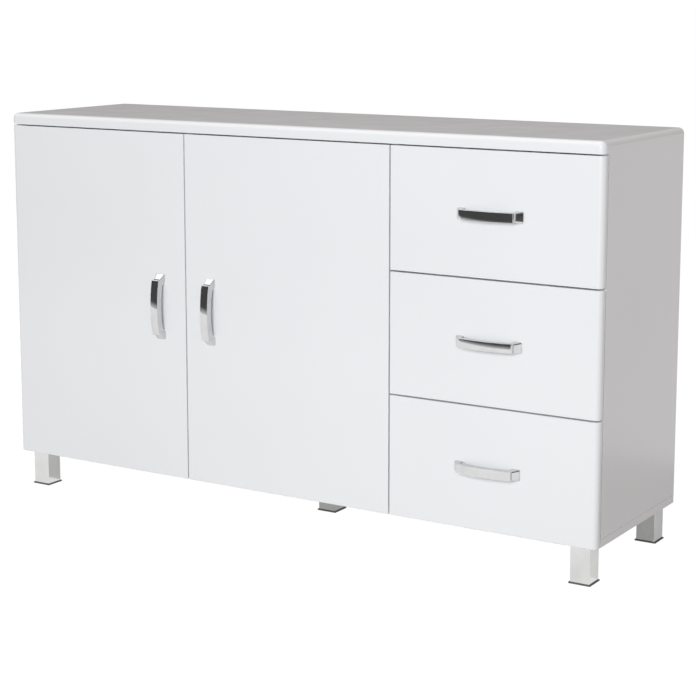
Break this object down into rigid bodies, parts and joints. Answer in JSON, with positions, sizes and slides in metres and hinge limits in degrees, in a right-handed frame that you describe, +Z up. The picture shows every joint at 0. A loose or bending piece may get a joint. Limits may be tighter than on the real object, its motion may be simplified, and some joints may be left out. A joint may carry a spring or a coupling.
{
  "type": "sideboard",
  "caption": "White lacquered sideboard on square chromed legs, with hinged doors over shelved bays on the left and a column of drawers on the right, bowed bar handles.",
  "frame": {"origin": "on the floor, under the middle of the whole object's box, handles included", "axes": "+X along the length to the viewer's right, +Y from the fronts to the back, +Z up"},
  "size_m": [1.44, 0.413, 0.855],
  "materials": {
    "white_lacquer": "bright white lacquer on fibreboard, semi-gloss with a faint orange peel",
    "white_melamine": "white melamine-faced particle board, fine satin grain",
    "white_hardboard": "thin hardboard, white lacquered face",
    "handle_chrome": "polished chrome plate",
    "leg_chrome": "chromed steel tube, softly polished",
    "nickel": "nickel-plated pressed steel",
    "coated_steel": "white powder-coated steel profile",
    "black_plastic": "moulded dark plastic"
  },
  "bodies": {
    "case": {"top_panel": "white_lacquer", "side_panel_left": "white_lacquer", "side_panel_right": "white_lacquer", "bottom_panel": "white_lacquer", "partition_middle": "white_melamine", "partition_right": "white_melamine", "shelf_left": "white_melamine", "shelf_right": "white_melamine", "back_panel_left": "white_hardboard", "back_panel_right": "white_hardboard", "back_joining_strip": "white_hardboard", "door_left_hinge_arm_upper": "nickel", "door_left_hinge_arm_lower": "nickel", "door_right_hinge_arm_upper": "nickel", "door_right_hinge_arm_lower": "nickel", "rail_lower_left": "coated_steel", "rail_lower_right": "coated_steel", "rail_middle_left": "coated_steel", "rail_middle_right": "coated_steel", "rail_upper_left": "coated_steel", "rail_upper_right": "coated_steel", "leg_front_left": "leg_chrome", "foot_plate_front_left": "black_plastic", "leg_front_right": "leg_chrome", "foot_plate_front_right": "black_plastic", "leg_rear_left": "leg_chrome", "foot_plate_rear_left": "black_plastic", "leg_rear_right": "leg_chrome", "foot_plate_rear_right": "black_plastic", "leg_middle": "leg_chrome", "foot_plate_middle": "black_plastic"},
    "door_left": {"door_left_panel": "white_lacquer", "door_left_handle": "handle_chrome", "door_left_hinge_cup_upper": "nickel", "door_left_hinge_cup_lower": "nickel"},
    "door_right": {"door_right_panel": "white_lacquer", "door_right_handle": "handle_chrome", "door_right_hinge_cup_upper": "nickel", "door_right_hinge_cup_lower": "nickel"},
    "drawer_lower": {"drawer_lower_front": "white_lacquer", "drawer_lower_handle": "handle_chrome", "drawer_lower_side_left": "white_melamine", "drawer_lower_side_right": "white_melamine", "drawer_lower_back": "white_melamine", "drawer_lower_bottom": "white_hardboard"},
    "drawer_middle": {"drawer_middle_front": "white_lacquer", "drawer_middle_handle": "handle_chrome", "drawer_middle_side_left": "white_melamine", "drawer_middle_side_right": "white_melamine", "drawer_middle_back": "white_melamine", "drawer_middle_bottom": "white_hardboard"},
    "drawer_upper": {"drawer_upper_front": "white_lacquer", "drawer_upper_handle": "handle_chrome", "drawer_upper_side_left": "white_melamine", "drawer_upper_side_right": "white_melamine", "drawer_upper_back": "white_melamine", "drawer_upper_bottom": "white_hardboard"}
  },
  "joints": [
    {"name": "door_left_hinge", "type": "hinge", "parent": "case", "child": "door_left", "pos_m": [-0.715, -0.174, 0.45375], "axis": [0, 0, -1], "range_deg": [0, 105]},
    {"name": "door_right_hinge", "type": "hinge", "parent": "case", "child": "door_right", "pos_m": [0.2575, -0.174, 0.45375], "axis": [0, 0, 1], "range_deg": [0, 90]},
    {"name": "drawer_lower_slide", "type": "slide", "parent": "case", "child": "drawer_lower", "axis": [0, -1, 0], "range_m": [0, 0.26]},
    {"name": "drawer_middle_slide", "type": "slide", "parent": "case", "child": "drawer_middle", "axis": [0, -1, 0], "range_m": [0, 0.26]},
    {"name": "drawer_upper_slide", "type": "slide", "parent": "case", "child": "drawer_upper", "axis": [0, -1, 0], "range_m": [0, 0.26]}
  ]
}
